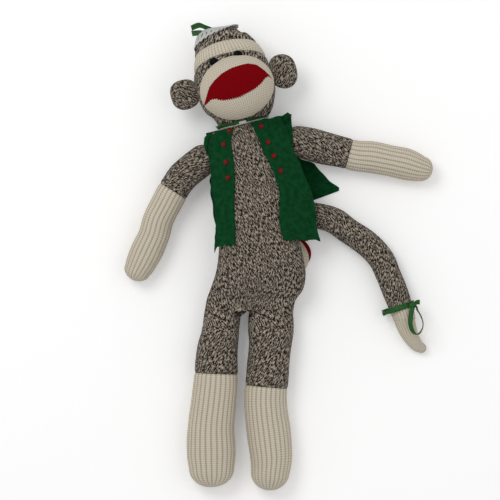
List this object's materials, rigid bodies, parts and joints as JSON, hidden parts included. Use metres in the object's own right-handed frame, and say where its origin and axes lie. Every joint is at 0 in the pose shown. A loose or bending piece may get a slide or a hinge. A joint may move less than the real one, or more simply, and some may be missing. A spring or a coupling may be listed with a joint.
{
  "type": "sock monkey doll",
  "caption": "Stuffed sock monkey doll lying on its back, in brown and cream rib knit, with a red mouth, button eyes, long tail and an open green felt vest with red beads.",
  "frame": {"origin": "the rest point under the back of the vest, where the doll lies on its back", "axes": "+Y towards the head, +Z out of the chest, +X towards the side that the tail comes out of"},
  "size_m": [0.3491, 0.5158, 0.1028],
  "materials": {
    "brown_marl_knit": "brown and white marl rib knit over stuffing",
    "cream_rib_knit": "plain cream rib knit over stuffing",
    "red_knit": "red heel knit",
    "green_felt": "dark green craft felt with cut edges",
    "red_bead": "glossy domed bead",
    "green_satin": "green satin ribbon, 6 mm wide",
    "white_satin": "narrow white satin ribbon",
    "white_lace": "white cotton lace with a scalloped edge",
    "black_button": "glossy black domed button"
  },
  "bodies": {
    "trunk": {"torso": "brown_marl_knit", "vest_back": "green_felt", "seat_border": "cream_rib_knit", "seat_patch": "red_knit"},
    "head_body": {"head": "brown_marl_knit", "cap_band": "cream_rib_knit", "cap_crown": "brown_marl_knit", "muzzle": "cream_rib_knit", "mouth": "red_knit", "eye_left": "black_button", "eye_right": "black_button", "neck_ribbon": "green_satin", "neck_tie": "white_satin", "neck_knot": "white_satin", "crown_lace": "white_lace", "crown_ribbon_upper": "green_satin", "crown_ribbon_lower": "green_satin"},
    "left_ear": {"ear_left": "brown_marl_knit"},
    "right_ear": {"ear_right": "brown_marl_knit"},
    "left_upper_arm": {"arm_left": "brown_marl_knit"},
    "left_forearm": {"hand_left": "cream_rib_knit"},
    "right_upper_arm": {"arm_right": "brown_marl_knit"},
    "right_forearm": {"hand_right": "cream_rib_knit"},
    "left_thigh": {"leg_left": "brown_marl_knit"},
    "left_shin": {"foot_left": "cream_rib_knit"},
    "right_thigh": {"leg_right": "brown_marl_knit"},
    "right_shin": {"foot_right": "cream_rib_knit"},
    "tail_root": {"tail": "brown_marl_knit", "tail_ribbon": "green_satin", "tail_knot": "green_satin", "tail_loop": "green_satin", "tail_ribbon_end": "green_satin"},
    "tail_end": {"tail_tip": "cream_rib_knit"},
    "left_vest_front": {"vest_front_left": "green_felt", "bead_left_1": "red_bead", "bead_left_2": "red_bead", "bead_left_3": "red_bead", "bead_left_4": "red_bead"},
    "right_vest_front": {"vest_front_right": "green_felt", "bead_right_1": "red_bead", "bead_right_2": "red_bead", "bead_right_3": "red_bead", "bead_right_4": "red_bead"}
  },
  "joints": [
    {"name": "neck_turn", "type": "hinge", "parent": "trunk", "child": "head_body", "pos_m": [-0.01493, 0.07565, 0.03373], "axis": [-0.2419, 0.9703, 0], "range_deg": [-60, 60]},
    {"name": "left_ear_fold", "type": "hinge", "parent": "head_body", "child": "left_ear", "pos_m": [-0.06642, 0.10526, 0.037], "axis": [-0.2419, 0.9703, 0], "range_deg": [-20, 20]},
    {"name": "right_ear_fold", "type": "hinge", "parent": "head_body", "child": "right_ear", "pos_m": [0.02038, 0.13187, 0.037], "axis": [-0.2419, 0.9703, 0], "range_deg": [-20, 20]},
    {"name": "left_shoulder", "type": "hinge", "parent": "trunk", "child": "left_upper_arm", "pos_m": [-0.05768, 0.03335, 0.029], "axis": [0, 0, -1], "range_deg": [-20, 60]},
    {"name": "right_shoulder", "type": "hinge", "parent": "trunk", "child": "right_upper_arm", "pos_m": [0.04882, 0.05395, 0.029], "axis": [0, 0, 1], "range_deg": [-20, 60]},
    {"name": "left_elbow", "type": "hinge", "parent": "left_upper_arm", "child": "left_forearm", "pos_m": [-0.09968, -0.01705, 0.0207], "axis": [-0.8842, 0.4671, 0], "range_deg": [0, 70]},
    {"name": "right_elbow", "type": "hinge", "parent": "right_upper_arm", "child": "right_forearm", "pos_m": [0.11322, 0.03827, 0.0207], "axis": [-0.0811, -0.9967, 0], "range_deg": [0, 70]},
    {"name": "left_hip", "type": "hinge", "parent": "trunk", "child": "left_thigh", "pos_m": [-0.03667, -0.14235, 0.0203], "axis": [-1, 0, 0], "range_deg": [0, 80]},
    {"name": "right_hip", "type": "hinge", "parent": "trunk", "child": "right_thigh", "pos_m": [0.01772, -0.14235, 0.0203], "axis": [-1, 0, 0], "range_deg": [0, 80]},
    {"name": "left_knee", "type": "hinge", "parent": "left_thigh", "child": "left_shin", "pos_m": [-0.04387, -0.21435, 0.0203], "axis": [0.9951, -0.0989, 0], "range_deg": [0, 70]},
    {"name": "right_knee", "type": "hinge", "parent": "right_thigh", "child": "right_shin", "pos_m": [0.01196, -0.22587, 0.0203], "axis": [0.9999, 0.0103, 0], "range_deg": [0, 70]},
    {"name": "tail_swing", "type": "hinge", "parent": "trunk", "child": "tail_root", "pos_m": [0.04769, -0.02551, 0.0166], "axis": [0, 0, 1], "range_deg": [-20, 20]},
    {"name": "tail_tip_bend", "type": "hinge", "parent": "tail_root", "child": "tail_end", "pos_m": [0.16569, -0.13975, 0.01463], "axis": [0, 0, 1], "range_deg": [-40, 40]},
    {"name": "left_vest_lift", "type": "hinge", "parent": "trunk", "child": "left_vest_front", "pos_m": [-0.0377, 0.06704, 0.05175], "axis": [-0.84, -0.1954, -0.5061], "range_deg": [0, 60]},
    {"name": "right_vest_lift", "type": "hinge", "parent": "trunk", "child": "right_vest_front", "pos_m": [0.01792, 0.07848, 0.0555], "axis": [-0.9333, -0.2308, 0.2752], "range_deg": [0, 60]}
  ]
}
